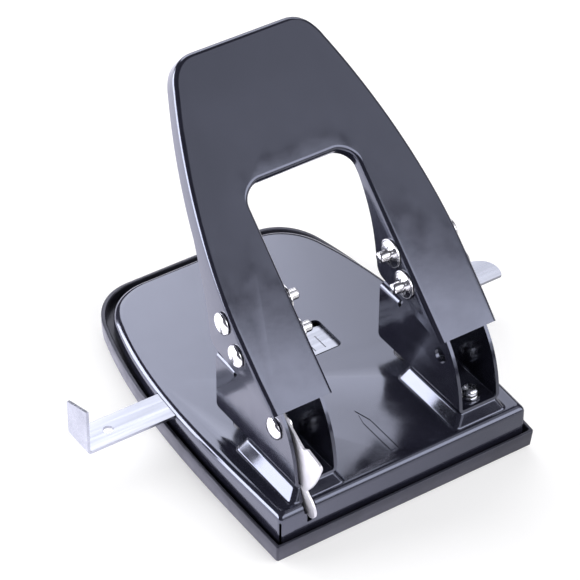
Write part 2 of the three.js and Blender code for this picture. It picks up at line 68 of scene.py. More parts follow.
TRAY_LOW, TRAY_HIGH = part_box("chip_tray")
TRAY_LENGTH = (TRAY_HIGH.y - TRAY_LOW.y) / MM
TRAY_HALF = 63.5
TRAY_TOP = (TRAY_HIGH.z - TRAY_LOW.z) / MM
TRAY_WALL = 1.5
TRAY_FLOOR = 1.8
TRAY_LEDGE = {"width": 4.4, "top": 3.7}
TRAY_CORNER_RADIUS = 1.2
FOOT = {"radius": 5.2, "pocket_radius": 5.4, "pocket": 1.0}
PAN = {"half": 60.6, "front": 2.2, "rear": 158.3, "top": 21.3, "sheet": 1.4,
       "round": 3.2, "corner": 2.0, "skirt": 4.3}
PLINTH = {"half": 10.6, "spread": 1.9, "front": 7.0, "rear": 44.6, "top": 27.0}
WINDOW = {"half": 20, "front": 75.6, "rear": 95.5, "corner": 2.5}
SEAM = {"half": 0.45, "top": 17.1}
MARK = {"half": 2.3, "tail": 9.7, "shoulder": 30.5, "tip": 38.4, "line": 1.05, "depth": 0.3}
HALF_SPACING = 40.0
PUNCH_Y = 56.5
PUNCH = {"radius": 3.0, "head": 4.6, "head_height": 2.0, "tip": 30.0}
DIE = {"radius": 6.0, "bore": 3.15, "depth": 6.0, "lip": 0.15}
SPRING = {"wire": 0.5, "radius": 4.45, "turns": 8.0, "closed": 1.1, "end_rise": 0.075, "pressed": 0.47}
PIVOT = (42.4, 73.3)
DRIVER = (52.1, 83.1)
PIN = {"radius": 2.4, "hole": 2.7, "head": 4.9, "dome": 2.1, "tail": 6.4}
PUSH_NUT = {"petals": 8, "slot": 0.35, "slot_from": 2.2, "slot_to": 4.7}
SCREW = {"ys": (14, 36), "shank": 2.0, "hole": 2.3, "head": 3.4, "washer": 1.1}
CROSS = {"reach": 1.8, "half": 0.35, "floor": 1.2, "turn": 0.35}
RIVET = (22.0, 48.6)
RIVET_HEAD = 4.9
RIVET_SHANK = 3.2
RIVET_HOLE = 3.5
BRACKET = {"half": 10.0, "floor": 27.3, "front": 7.3, "wing_top": 57.3, "wing_floor": 29.3, "rear": 64.6}
WEB_FOOT = (16.2, 60.5)
WEB_SHEET = 1.6
WEB_BEND = 2.2
WEB_LENGTH = 145.5
FLANGE = {"outer_reach": 8.6, "inner_reach": 5.4}
ARM_OUTER = 54.4
ARM_INNER = 26.2
OPENING = {"half": ARM_INNER, "top": 88.0, "corner": 8.5}
LATCH = {"x": -47.1, "sheet": 1.2}
LATCH_RECESS = {"centre": -46.2, "half": 2.8, "floor": 17, "slot_floor": 12.4, "slot_end": 14.2, "slack": 0.5}
GUIDE = {"front": 77.7, "rear": 93.1, "top": 19.6, "sheet": 1.2, "left": -103.2, "right": 106.8, "bend": 1.8}
GUIDE_TAB = {"front": 21.5, "rear": 16.5}
GUIDE_HOLE = {"radius": 2.3, "from_tab": 14.2}

TRAY_MIDDLE = (TRAY_LOW + TRAY_HIGH) / 2
TRAY_CORNER = Matrix.Translation((TRAY_MIDDLE.x, TRAY_LOW.y, TRAY_LOW.z))
DECK = TRAY_CORNER @ Matrix.Rotation(-SLOPE, 4, "X") @ Matrix.Scale(MM, 4)
TRAY = TRAY_CORNER @ Matrix.Scale(MM, 4)
HANDLE = DECK @ Matrix.Translation((0, *WEB_FOOT)) @ Matrix.Rotation(WEB_TILT, 4, "X")

# ---- camera, lights and ground -------------------------------------------------------------------

scene = bpy.context.scene
scene.view_settings.view_transform = "Standard"
scene.view_settings.look = "None"
AIM = Vector((0, 0, 0.06))             # the lights face this point
STUDIO_TINT = (0.90, 0.91, 1.0)
CAMERA_FROM_TRAY = Vector((-0.5396, -0.7429, 0.8815))
CAMERA_RIGHT = Vector((0.83135, -0.55434, 0.03964))
CAMERA_FORWARD = Vector((0.43383, 0.60275, -0.66969))


def add_camera():
    data = bpy.data.cameras.new("camera")
    data.lens = 187.3
    data.sensor_width = 36
    data.clip_start = 0.1
    data.clip_end = 50
    camera = bpy.data.objects.new("camera", data)
    across = CAMERA_RIGHT - CAMERA_RIGHT.dot(CAMERA_FORWARD) * CAMERA_FORWARD
    right, forward = across.normalized(), CAMERA_FORWARD.normalized()
    turn = Matrix((right, right.cross(forward).normalized(), -forward)).transposed()
    location = Vector((TRAY_MIDDLE.x, TRAY_MIDDLE.y, 0)) + CAMERA_FROM_TRAY
    camera.matrix_world = Matrix.Translation(location) @ turn.to_4x4()
    scene.collection.objects.link(camera)
    scene.camera = camera


def add_softbox(name, direction, distance, size, low, high, fade=(-0.5, 0.5), roll=0.0, centre=(0, 0)):
    """A glowing panel that faces the punch, with radiance low at its lower edge and high at its upper.

    direction and distance lead from AIM to the panel's plane, centre and roll place the panel in that plane,
    and fade gives the stretch, in shares of its height, over which low turns into high.
    """
    width, height = size
    w, h = width / 2, height / 2
    mesh = bpy.data.meshes.new(name)
    mesh.from_pydata([(-w, -h, 0), (w, -h, 0), (w, h, 0), (-w, h, 0)], [], [(0, 1, 2, 3)])
    mesh.materials.append(glow(name, low, high, fade[0] * height, fade[1] * height))
    panel = bpy.data.objects.new(name, mesh)
    towards = Vector(direction).normalized()
    sideways = Vector((0, 0, 1)).cross(towards).normalized()
    turn = Matrix((sideways, towards.cross(sideways), towards)).transposed().to_4x4()
    in_plane = Matrix.Rotation(math.radians(roll), 4, "Z") @ Matrix.Translation((*centre, 0))
    panel.matrix_world = Matrix.Translation(AIM + towards * distance) @ turn @ in_plane
    scene.collection.objects.link(panel)
    panel.visible_camera = False


def glow(name, low, high, start, end):
    """Emission whose strength goes from low, at start, to high, at end, along the panel's own y."""
    material = bpy.data.materials.new(name)
    material.use_nodes = True
    nodes, links = material.node_tree.nodes, material.node_tree.links
    nodes.remove(nodes["Principled BSDF"])
    emission = nodes.new("ShaderNodeEmission")
    emission.inputs["Color"].default_value = (*STUDIO_TINT, 1)
    place = nodes.new("ShaderNodeTexCoord")
    split = nodes.new("ShaderNodeSeparateXYZ")
    ramp = smooth_ramp(nodes, start, end, low, high)
    links.new(place.outputs["Object"], split.inputs["Vector"])
    links.new(split.outputs["Y"], ramp.inputs["Value"])
    links.new(ramp.outputs["Result"], emission.inputs["Strength"])
    links.new(emission.outputs["Emission"], nodes["Material Output"].inputs["Surface"])
    return material


def smooth_ramp(nodes, start, end, low, high):
    ramp = nodes.new("ShaderNodeMapRange")
    ramp.interpolation_type = "SMOOTHSTEP"
    ramp.inputs["From Min"].default_value = start
    ramp.inputs["From Max"].default_value = end
    ramp.inputs["To Min"].default_value = low
    ramp.inputs["To Max"].default_value = high
    return ramp


def add_world():
    """White where the camera sees it, and a dim studio everywhere else."""
    world = bpy.data.worlds.new("studio")
    world.use_nodes = True
    nodes, links = world.node_tree.nodes, world.node_tree.links
    nodes["Background"].inputs["Color"].default_value = (0.11, 0.11, 0.135, 1)
    backdrop = nodes.new("ShaderNodeBackground")
    mix = nodes.new("ShaderNodeMixShader")
    path = nodes.new("ShaderNodeLightPath")
    links.new(path.outputs["Is Camera Ray"], mix.inputs["Fac"])
    links.new(nodes["Background"].outputs["Background"], mix.inputs[1])
    links.new(backdrop.outputs["Background"], mix.inputs[2])
    links.new(mix.outputs["Shader"], nodes["World Output"].inputs["Surface"])
    scene.world = world


def add_floor():
    mesh = bpy.data.meshes.new("floor")
    size = 6
    corners = [(-size, -size, 0), (size, -size, 0), (size, size, 0), (-size, size, 0)]
    mesh.from_pydata(corners, [], [(0, 1, 2, 3)])
    floor = bpy.data.objects.new("floor", mesh)
    scene.collection.objects.link(floor)
    mesh.materials.append(floor_paper())


def floor_paper():
    """Evenly lit paper to the camera. In reflections it is brightest to the left of the punch."""
    paper = Surface("floor_paper", (0.62, 0.61, 0.56), 0.9)
    nodes, links = paper.nodes, paper.links
    place = nodes.new("ShaderNodeTexCoord")
    along = nodes.new("ShaderNodeVectorMath")
    along.operation = "DOT_PRODUCT"
    along.inputs[1].default_value = (-0.8, 0.3, 0)
    ramp = smooth_ramp(nodes, -0.12, 0.08, 0.12, 1.5)
    path = nodes.new("ShaderNodeLightPath")
    mix = nodes.new("ShaderNodeMix")
    mix.inputs["B"].default_value = 0.43
    tint = nodes.new("ShaderNodeMix")
    tint.data_type = "RGBA"
    tint.inputs["A"].default_value = (0.84, 0.83, 1.0, 1)
    tint.inputs["B"].default_value = (1, 1, 1, 1)
    links.new(place.outputs["Object"], along.inputs[0])
    links.new(along.outputs["Value"], ramp.inputs["Value"])
    links.new(path.outputs["Is Camera Ray"], mix.inputs["Factor"])
    links.new(path.outputs["Is Camera Ray"], tint.inputs["Factor"])
    links.new(tint.outputs["Result"], paper.shader.inputs["Emission Color"])
    links.new(ramp.outputs["Result"], mix.inputs["A"])
    links.new(mix.outputs["Result"], paper.shader.inputs["Emission Strength"])
    return paper.material


# ---- materials -----------------------------------------------------------------------------------

class Surface:
    """A material with a principled shader, to which grain and unevenness are added."""

    def __init__(self, name, color, roughness, metallic=0.0, coat=0.0):
        self.material = bpy.data.materials.new(name)
        self.material.use_nodes = True
        self.nodes = self.material.node_tree.nodes
        self.links = self.material.node_tree.links
        self.shader = self.nodes["Principled BSDF"]
        self.shader.inputs["Base Color"].default_value = (*color, 1)
        self.shader.inputs["Roughness"].default_value = roughness
        self.shader.inputs["Metallic"].default_value = metallic
        self.shader.inputs["Coat Weight"].default_value = coat
        self.shader.inputs["Coat Roughness"].default_value = 0.05

    def noise(self, scale, stretch=(1, 1, 1), detail=4.0):
        place = self.nodes.new("ShaderNodeTexCoord")
        mapping = self.nodes.new("ShaderNodeMapping")
        mapping.inputs["Scale"].default_value = stretch
        noise = self.nodes.new("ShaderNodeTexNoise")
        noise.inputs["Scale"].default_value = scale
        noise.inputs["Detail"].default_value = detail
        self.links.new(place.outputs["Object"], mapping.inputs["Vector"])
        self.links.new(mapping.outputs["Vector"], noise.inputs["Vector"])
        return noise.outputs["Fac"]

    def spread(self, value, low, high, start=0.35, end=0.65):
        to_range = self.nodes.new("ShaderNodeMapRange")
        to_range.inputs["From Min"].default_value = start
        to_range.inputs["From Max"].default_value = end
        to_range.inputs["To Min"].default_value = low
        to_range.inputs["To Max"].default_value = high
        self.links.new(value, to_range.inputs["Value"])
        return to_range.outputs["Result"]

    def uneven_roughness(self, scale, low, high, stretch=(1, 1, 1)):
        self.links.new(self.spread(self.noise(scale, stretch), low, high), self.shader.inputs["Roughness"])

    def uneven_color(self, scale, dark, light, stretch=(1, 1, 1)):
        mix = self.nodes.new("ShaderNodeMix")
        mix.data_type = "RGBA"
        mix.inputs["A"].default_value = (*dark, 1)
        mix.inputs["B"].default_value = (*light, 1)
        self.links.new(self.spread(self.noise(scale, stretch), 0.0, 1.0), mix.inputs["Factor"])
        self.links.new(mix.outputs["Result"], self.shader.inputs["Base Color"])

    def bump(self, scale, height, stretch=(1, 1, 1)):
        bump = self.nodes.new("ShaderNodeBump")
        bump.inputs["Strength"].default_value = 1.0
        bump.inputs["Distance"].default_value = height
        self.links.new(self.noise(scale, stretch, 2.0), bump.inputs["Height"])
        self.links.new(bump.outputs["Normal"], self.shader.inputs["Normal"])


def black_paint():
    paint = Surface("black_paint", (0.010, 0.010, 0.016), 0.14)
    paint.shader.inputs["IOR"].default_value = 1.9
    paint.shader.inputs["Specular Tint"].default_value = (0.80, 0.84, 1.0, 1)
    paint.uneven_color(40, (0.008, 0.008, 0.013), (0.013, 0.013, 0.020))
    paint.uneven_roughness(120, 0.11, 0.17)
    paint.bump(350, 0.000008)
    return paint.material


def tray_plastic():
    plastic = Surface("tray_plastic", (0.03, 0.03, 0.038), 0.34)
    plastic.shader.inputs["Specular IOR Level"].default_value = 0.38
    plastic.shader.inputs["Specular Tint"].default_value = (0.88, 0.88, 1.0, 1)
    plastic.uneven_color(60, (0.026, 0.026, 0.032), (0.036, 0.036, 0.046))
    plastic.uneven_roughness(200, 0.28, 0.40)
    plastic.bump(900, 0.00001)
    return plastic.material


def foot_rubber():
    rubber = Surface("foot_rubber", (0.012, 0.012, 0.013), 0.8)
    rubber.uneven_color(300, (0.009, 0.009, 0.010), (0.018, 0.018, 0.019))
    rubber.uneven_roughness(300, 0.7, 0.9)
    rubber.bump(1200, 0.00003)
    return rubber.material


def satin_nickel():
    plate = Surface("satin_nickel", (0.70, 0.685, 0.69), 0.32, 0.5)
    plate.uneven_color(70, (0.65, 0.635, 0.64), (0.75, 0.735, 0.74))
    plate.uneven_roughness(300, 0.30, 0.44)
    plate.bump(700, 0.000006)
    return plate.material


def nickel():
    plate = Surface("nickel", (0.78, 0.77, 0.76), 0.14, 1.0)
    plate.uneven_color(90, (0.70, 0.69, 0.68), (0.82, 0.81, 0.80))
    plate.uneven_roughness(260, 0.10, 0.22)
    plate.bump(700, 0.000006)
    return plate.material


def tool_steel():
    steel = Surface("tool_steel", (0.56, 0.57, 0.6), 0.24, 1.0)
    steel.uneven_color(60, (0.5, 0.51, 0.54), (0.62, 0.63, 0.65), (1, 1, 0.1))
    steel.uneven_roughness(500, 0.18, 0.32, (1, 1, 0.05))
    return steel.material


# Near-black steel for the dies. The darkness is painted shade, standing in for the shade under the bracket
# wings.
def shade_dark_steel():
    steel = Surface("shade_dark_steel", (0.05, 0.05, 0.055), 0.25, 1.0)
    steel.uneven_color(150, (0.04, 0.04, 0.045), (0.07, 0.07, 0.075))
    steel.uneven_roughness(400, 0.2, 0.34)
    return steel.material


def spring_steel():
    steel = Surface("spring_steel", (0.5, 0.5, 0.53), 0.28, 1.0)
    steel.uneven_color(200, (0.42, 0.42, 0.45), (0.58, 0.58, 0.6))
    steel.uneven_roughness(600, 0.22, 0.36)
    return steel.material


def zinc_steel():
    steel = Surface("zinc_steel", (0.6, 0.61, 0.63), 0.4, 1.0)
    steel.uneven_color(150, (0.5, 0.51, 0.54), (0.68, 0.69, 0.7))
    steel.uneven_roughness(300, 0.32, 0.5)
    return steel.material


def guide_plate():
    plate = Surface("guide_plate", (0.33, 0.34, 0.37), 0.3, 1.0)
    plate.uneven_color(80, (0.29, 0.30, 0.33), (0.37, 0.38, 0.41), (0.1, 1, 1))
    plate.uneven_roughness(700, 0.24, 0.38, (0.03, 1, 1))
    return plate.material


def guide_ink():
    ink = Surface("guide_ink", (0.05, 0.05, 0.06), 0.5)
    ink.uneven_color(900, (0.04, 0.04, 0.05), (0.08, 0.08, 0.09))
    return ink.material


# ---- shapes --------------------------------------------------------------------------------------

def flat(u, v, w):
    """An outline in (x, y), pushed along z."""
    return (u, v, w)


def side(u, v, w):
    """An outline in (y, z), pushed along x."""
    return (w, u, v)


def section(u, v, w):
    """An outline in (x, z), pushed along y."""
    return (u, w, v)


def mesh_object(name, verts, faces):
    mesh = bpy.data.meshes.new(name)
    mesh.from_pydata(verts, [], faces)
    edit = bmesh.new()
    edit.from_mesh(mesh)
    bmesh.ops.remove_doubles(edit, verts=edit.verts, dist=1e-5)
    bmesh.ops.recalc_face_normals(edit, faces=edit.faces)
    edit.to_mesh(mesh)
    edit.free()
    thing = bpy.data.objects.new(name, mesh)
    scene.collection.objects.link(thing)
    return thing


def loft(name, rings):
    """A closed skin through rings of points that all have the same count."""
    count = len(rings[0])
    faces = [tuple(range(count)), tuple(range((len(rings) - 1) * count, len(rings) * count))]
    for level in range(len(rings) - 1):
        for i in range(count):
            a = level * count + i
            b = level * count + (i + 1) % count
            faces.append((a, b, b + count, a + count))
    return mesh_object(name, [p for ring in rings for p in ring], faces)


def prism(name, outline, low, high, place=flat):
    return loft(name, [[place(u, v, w) for u, v in outline] for w in (low, high)])


def block(name, x0, x1, y0, y1, z0, z1):
    return prism(name, [(x0, y0), (x1, y0), (x1, y1), (x0, y1)], z0, z1)


def lathe(name, profile, at, axis="X", steps=48):
    """A solid of revolution. The profile lists (radius, height along the axis); at is a point on the axis."""
    rows = [(max(r, 0.0), h) for r, h in profile]
    verts = []
    for k in range(steps):
        turn = 2 * math.pi * k / steps
        for r, h in rows:
            across, up = r * math.cos(turn), r * math.sin(turn)
            local = Vector((h, across, up)) if axis == "X" else Vector((across, up, h))
            verts.append(tuple(local + Vector(at)))
    count = len(rows)
    faces = []
    for k in range(steps):
        for i in range(count - 1):
            a = k * count + i
            b = (k + 1) % steps * count + i
            faces.append((a, b, b + 1, a + 1))
    return mesh_object(name, verts, faces)


def rod(name, radius, low, high, at, axis="X", steps=48):
    """A cylinder between two heights along its axis; the cutter of every round hole."""
    return lathe(name, [(0, low), (radius, low), (radius, high), (0, high)], at, axis, steps)


def combine(thing, others, operation):
    """Joins, cuts or intersects thing with the others, which are used up."""
    for other in others:
        modifier = thing.modifiers.new(operation, "BOOLEAN")
        modifier.operation = operation
        modifier.solver = "MANIFOLD"
        modifier.object = other
    bpy.context.view_layer.update()
    done = bpy.data.meshes.new_from_object(thing.evaluated_get(bpy.context.evaluated_depsgraph_get()))
    thing.modifiers.clear()
    thing.data = done
    for other in others:
        bpy.data.objects.remove(other)
    return thing


def cut(thing, *others):
    return combine(thing, others, "DIFFERENCE")


def join(thing, *others):
    return combine(thing, others, "UNION")


def common(thing, *others):
    return combine(thing, others, "INTERSECT")


def dress(thing, material, bevel=0.0, segments=2, sharp=30):
    """A material, edges rounded by bevel millimetres, and smooth shading that keeps the flats flat."""
    thing.data.materials.clear()
    thing.data.materials.append(MATERIALS[material])
    for polygon in thing.data.polygons:
        polygon.use_smooth = True
    if bevel:
        rounding = thing.modifiers.new("rounding", "BEVEL")
        rounding.width = bevel * MM
        rounding.segments = segments
        rounding.limit_method = "ANGLE"
        rounding.angle_limit = math.radians(sharp)
        rounding.miter_outer = "MITER_ARC"
        rounding.harden_normals = True
    else:
        thing.data.set_sharp_from_angle(angle=math.radians(sharp))
    return thing


def clean(thing):
    """Merges the slivers that a boolean leaves."""
    edit = bmesh.new()
    edit.from_mesh(thing.data)
    bmesh.ops.remove_doubles(edit, verts=edit.verts, dist=0.004)
    bmesh.ops.dissolve_limit(edit, angle_limit=math.radians(0.4), verts=edit.verts, edges=edit.edges)
    edit.to_mesh(thing.data)
    edit.free()
    return thing


SLOTS = {entry["node"]: entry["material_slot"] for entry in frame["record"]["subparts"]}


def place(thing, matrix, body, material, nodes, bevel=0.0, segments=2, sharp=30):
    """Puts a finished piece in the row frame, on its body, in place of its CAD nodes."""
    thing.data.transform(matrix)
    dress(thing, material, bevel, segments, sharp)
    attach(thing, body)
    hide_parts(*nodes)
    return thing


def curve(p0, p1, p2, p3, steps):
    """Points of a cubic Bezier."""
    points = []
    for k in range(steps + 1):
        t = k / steps
        a, b, c, d = (1 - t) ** 3, 3 * t * (1 - t) ** 2, 3 * t * t * (1 - t), t ** 3
        points.append(tuple(a * w + b * x + c * y + d * z for w, x, y, z in zip(p0, p1, p2, p3)))
    return points


def mirrored(right_half):
    """A closed outline from its right half."""
    return right_half + [(-x, y) for x, y in reversed(right_half)]


def arc(cx, cy, radius, start, end, steps):
    angles = [math.radians(start + (end - start) * k / steps) for k in range(steps + 1)]
    return [(cx + radius * math.cos(a), cy + radius * math.sin(a)) for a in angles]


def rounded_rectangle(half, y0, y1, radius, steps=6, centre=0.0):
    right, low, high = half - radius, y0 + radius, y1 - radius
    outline = arc(right, low, radius, -90, 0, steps) + arc(right, high, radius, 0, 90, steps)
    outline += arc(-right, high, radius, 90, 180, steps) + arc(-right, low, radius, 180, 270, steps)
    return [(x + centre, y) for x, y in outline]


def inset(outline, distance):
    """An anticlockwise outline moved inwards, corner by corner."""
    moved = []
    for i, point in enumerate(outline):
        before, here, after = Vector(outline[i - 1]), Vector(point), Vector(outline[(i + 1) % len(outline)])
        into, out = (here - before).normalized(), (after - here).normalized()
        normal = Vector((-into.y - out.y, into.x + out.x)).normalized()
        share = max(0.35, normal.x * -into.y + normal.y * into.x)
        moved.append(tuple(here + normal * distance / share))
    return moved


# ---- tray and deck -------------------------------------------------------------------------------

def base_outline(half, front, rear, radius):
    """Plan of the tray and the pan: flanks that widen a little, then narrow to a round paper side."""
    length = rear - front
    corner = curve((half - radius, front), (half - 0.4 * radius, front), (half, front + 0.4 * radius),
                   (half, front + radius), 6)
    flank = curve((half, front + radius), (half + 1.8, front + 0.3 * length),
                  (half + 4.9, front + 0.61 * length), (half - 7.7, rear - 20), 40)
    back = curve((half - 7.7, rear - 20), (half - 10.4, rear - 9), (half - 18.5, rear), (half - 31, rear), 20)
    return mirrored(corner + flank[1:] + back[1:])


def tray_ring(inward, z):
    outline = base_outline(TRAY_HALF - inward, inward, TRAY_LENGTH - inward, TRAY_CORNER_RADIUS)
    return [(x, y, z) for x, y in outline]


def foot_places():
    """Each foot's node and its middle, in the tray's frame."""
    names = [f"foot_{end}_{name}" for end in ("front", "rear") for name in ("left", "right")]
    return [(node, TRAY.inverted() @ ((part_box(node)[0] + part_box(node)[1]) / 2)) for node in names]


def build_tray():
    rim, lip = 0.55, 0.35
    rings = [tray_ring(0.7, 0), tray_ring(0.35, 0.35), tray_ring(0.15, 4), tray_ring(0, TRAY_TOP - rim)]
    for turn in (30, 60, 90):
        a = math.radians(turn)
        rings.append(tray_ring(rim * (1 - math.cos(a)), TRAY_TOP - rim * (1 - math.sin(a))))
    tray = loft("chip_tray_shell", rings)
    above = TRAY_TOP + 3.6
    mouth = loft("mouth", [tray_ring(TRAY_WALL, TRAY_LEDGE["top"]), tray_ring(TRAY_WALL, TRAY_TOP - 0.4),
                           tray_ring(TRAY_WALL - lip, TRAY_TOP + 0.05), tray_ring(TRAY_WALL - lip, above)])
    ledge = TRAY_WALL + TRAY_LEDGE["width"]
    well = loft("well", [tray_ring(ledge, TRAY_FLOOR), tray_ring(ledge, above)])
    cutters = [mouth, well]
    for _, at in foot_places():
        cutters.append(rod("pocket", FOOT["pocket_radius"], -1, FOOT["pocket"], (at.x, at.y, 0), "Z"))
    place(clean(cut(tray, *cutters)), TRAY, "tray", "tray_plastic", ["chip_tray"])


def build_feet():
    radius = FOOT["radius"]
    for node, at in foot_places():
        low = (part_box(node)[0].z - TRAY_LOW.z) / MM
        profile = [(0, low), (radius - 0.6, low), (radius - 0.2, low + 0.15), (radius, low + 0.5),
                   (radius, FOOT["pocket"] / 2), (0, FOOT["pocket"] / 2)]
        foot = lathe(f"{node}_pad", profile, (at.x, at.y, 0), "Z")
        place(foot, TRAY, "tray", "foot_rubber", [node])


def pan_slab(name, skin, bottom):
    top, radius = PAN["top"] - skin, PAN["round"] - skin

    def ring(inward, z):
        front, rear = PAN["front"] + inward, PAN["rear"] - inward
        outline = base_outline(PAN["half"] - inward, front, rear, PAN["corner"])
        return [(x, y, z) for x, y in outline]

    rings = [ring(skin, bottom)]
    for k in range(9):
        a = math.pi / 2 * k / 8
        rings.append(ring(skin + radius * (1 - math.cos(a)), top - radius * (1 - math.sin(a))))
    return loft(name, rings)


def plinth_slab(name, centre, skin):
    """A raised bracket seat, with a soft foot and a rounded upper edge."""
    base, top = PAN["top"], PLINTH["top"]
    rise = top - base
    path = [(-1.2, -3)] + curve((-1.2, 0), (-0.6, 0.1), (-0.3, 0.4), (0, 0.9), 6)
    path += curve((2.2, 4.6), (2.6, 5.3), (2.9, rise), (3.6, rise), 6)
    rings = []
    for inward, height in path:
        half = PLINTH["half"] + PLINTH["spread"] - inward - skin
        front = PLINTH["front"] - PLINTH["spread"] * 0.65 + inward * 0.65 + skin
        rear = PLINTH["rear"] + PLINTH["spread"] * 0.7 - inward * 0.7 - skin
        outline = rounded_rectangle(half, front, rear, 2.6, 5, centre)
        rings.append([(x, y, base + height - skin) for x, y in outline])
    return loft(name, rings)


def build_pan():
    centres = (-HALF_SPACING, HALF_SPACING)
    pan = join(pan_slab("base_pan_shell", 0, -12), *[plinth_slab("plinth", x, 0) for x in centres])
    inside = [plinth_slab("hollow", x, PAN["sheet"]) for x in centres]
    hollow = join(pan_slab("hollow", PAN["sheet"], -13), *inside)
    below = block("below", -90, 90, -40, 240, -60, 0)
    below.data.transform(Matrix.Translation((0, 0, PAN["skirt"])) @ Matrix.Rotation(SLOPE, 4, "X"))
    cutters = [hollow, below]
    for x in centres:
        cutters.append(rod("die_hole", DIE["radius"] + 0.2, 15, 24, (x, PUNCH_Y, 0), "Z", 64))
        for y in SCREW["ys"]:
            cutters.append(rod("screw_hole", SCREW["hole"], 20, 30, (x, y, 0), "Z", 24))
    window = rounded_rectangle(WINDOW["half"], WINDOW["front"], WINDOW["rear"], WINDOW["corner"])
    cutters.append(prism("window", window, 15, 25))
    for edge in (-1, 1):
        floor = GUIDE["top"] - GUIDE["sheet"] - GAP
        cutters.append(block("slot", edge * PAN["half"] - 5, edge * PAN["half"] + 5, GUIDE["front"] - 0.5,
                             GUIDE["rear"] + 0.5, floor, GUIDE["top"] + GAP))
        half, top = SEAM["half"], SEAM["top"]
        seam = prism("seam", [(-half, -20), (half, -20)] + arc(0, top, half, 0, 180, 8), -5, 5, section)
        seam.data.transform(Matrix.Translation((edge * PAN["half"], PAN["front"], 0))
                            @ Matrix.Rotation(edge * math.pi / 4, 4, "Z"))
        cutters.append(seam)
    cutters += latch_clearance()
    cutters.append(mark_groove())
    place(clean(cut(pan, *cutters)), DECK, "deck", "black_paint", ["base_pan"], 0.22, 2)


def latch_clearance():
    """Cutters for the thumb recess in the pan's front and for the slot that the latch turns in."""
    half, floor = LATCH_RECESS["half"], LATCH_RECESS["floor"]
    recess = rounded_rectangle(half, floor, 34, 1.2, 5, LATCH_RECESS["centre"])
    left = LATCH["x"] - LATCH_RECESS["slack"]
    right = LATCH["x"] + LATCH["sheet"] + LATCH_RECESS["slack"]
    slot = block("latch_slot", left, right, -5, LATCH_RECESS["slot_end"], LATCH_RECESS["slot_floor"], 34)
    return [prism("latch_recess", recess, -5, 5.6, section), slot]


def mark_groove():
    """The pencil-shaped centre mark, pressed into the deck as one line."""
    half, tail, shoulder = MARK["half"], MARK["tail"], MARK["shoulder"]
    outline = [(-half, tail), (half, tail), (half, shoulder), (0, MARK["tip"]), (-half, shoulder)]
    inner = inset(outline, MARK["line"])
    groove = prism("mark", outline, PAN["top"] - MARK["depth"], PAN["top"] + 1)
    return cut(groove, prism("mark_inner", inner, PAN["top"] - 1, PAN["top"] + 2))


# ---- brackets ------------------------------------------------------------------------------------

def channel(name, low, high, flip, centre):
    """A U section with rounded bends, closed at the bottom, or at the top when flipped."""
    sign = -1 if flip else 1
    if flip:
        low, high = -high, -low
    outer = rounded_rectangle(BRACKET["half"], low, high + 20, 2.6, 8, 0)
    inner = rounded_rectangle(BRACKET["half"] - SHEET, low + SHEET, high + 30, 0.9, 6, 0)
    shell = prism(name, [(x + centre, sign * z) for x, z in outer], 0, 80, section)
    return cut(shell, prism("inside", [(x + centre, sign * z) for x, z in inner], -1, 81, section))


def cheek_outline():
    eye = 5.0
    top = (WEB_FOOT[0] + 3 * math.sin(WEB_TILT), WEB_FOOT[1] - 3 * math.cos(WEB_TILT))
    outline = [(47.6, BRACKET["wing_floor"]), (50.4, BRACKET["wing_floor"]), (50.4, 54), (48.6, 57.5)]
    outline += arc(PIVOT[0], PIVOT[1], eye, -10, 132, 16)
    control, foot = (8.6, 47), (BRACKET["front"], 29)
    for k in range(17):
        t = k / 16
        outline.append(tuple((1 - t) ** 2 * a + 2 * t * (1 - t) * b + t * t * c
                             for a, b, c in zip(top, control, foot)))
    return outline + [(BRACKET["front"], BRACKET["floor"]), (45.8, BRACKET["floor"])]


def wing_outline():
    floor, rear, top = BRACKET["wing_floor"], BRACKET["rear"], BRACKET["wing_top"]
    outline = [(49.6, floor)] + arc(rear - 2, floor + 2, 2, -90, 0, 6)
    return outline + [(rear, top), (52, top)] + arc(50.2, 55.5, 1.6, 60, -80, 8)[:-1] + [(49.6, 53.4)]


def build_bracket(name, centre):
    low, high = centre - 11, centre + 11
    cheeks = common(channel(f"bracket_{name}_plate", BRACKET["floor"], 80, False, centre),
                    prism("cheek", cheek_outline(), low, high, side))
    wing = common(channel("wing", 20, BRACKET["wing_top"], True, centre),
                  prism("wing_side", wing_outline(), low, high, side))
    plate = join(cheeks, wing)
    cutters = [
        rod("pin_hole", PIN["hole"], -11, 11, (centre, *PIVOT)),
        rod("rivet_hole", RIVET_HOLE, -11, 0, (centre, *RIVET)),
        rod("punch_hole", PUNCH["radius"] + 0.5, 50, 60, (centre, PUNCH_Y, 0), "Z"),
    ]
    for y in SCREW["ys"]:
        cutters.append(rod("screw_hole", SCREW["hole"], 25, 32, (centre, y, 0), "Z", 24))
    if name == "left":
        slot = (LATCH["x"] - GAP, LATCH["x"] + LATCH["sheet"] + GAP, 0, LATCH_RECESS["slot_end"])
        cutters.append(block("latch_slot", *slot, 25, 29.7))
    place(clean(cut(plate, *cutters)), DECK, "deck", "black_paint", [f"bracket_{name}"], 0.25, 3)


# ---- handle --------------------------------------------------------------------------------------

def handle_outline():
    """Plan of the handle, run on below its foot, where the flanges' free edge ends it."""
    foot = [(ARM_OUTER - 0.6, -12)]
    foot += curve((ARM_OUTER - 0.6, 0), (ARM_OUTER - 0.3, 6), (ARM_OUTER, 14), (ARM_OUTER, 26), 10)
    flank = curve((ARM_OUTER, 35), (ARM_OUTER, 66), (47.3, 102), (36, 133), 40)
    shoulder = curve((36, 133), (34, 139.5), (30, WEB_LENGTH), (22, WEB_LENGTH), 16)
    return mirrored(foot + flank + shoulder[1:])


def opening_outline(grow):
    """Plan of the opening between the arms, larger all round by grow."""
    half, top = OPENING["half"] + grow, OPENING["top"] + grow
    radius = OPENING["corner"] + grow
    corner = curve((half, top - radius), (half, top - 0.45 * radius),
                   (half - 0.55 * radius, top), (half - radius, top), 14)
    return mirrored([(half, -20)] + corner)


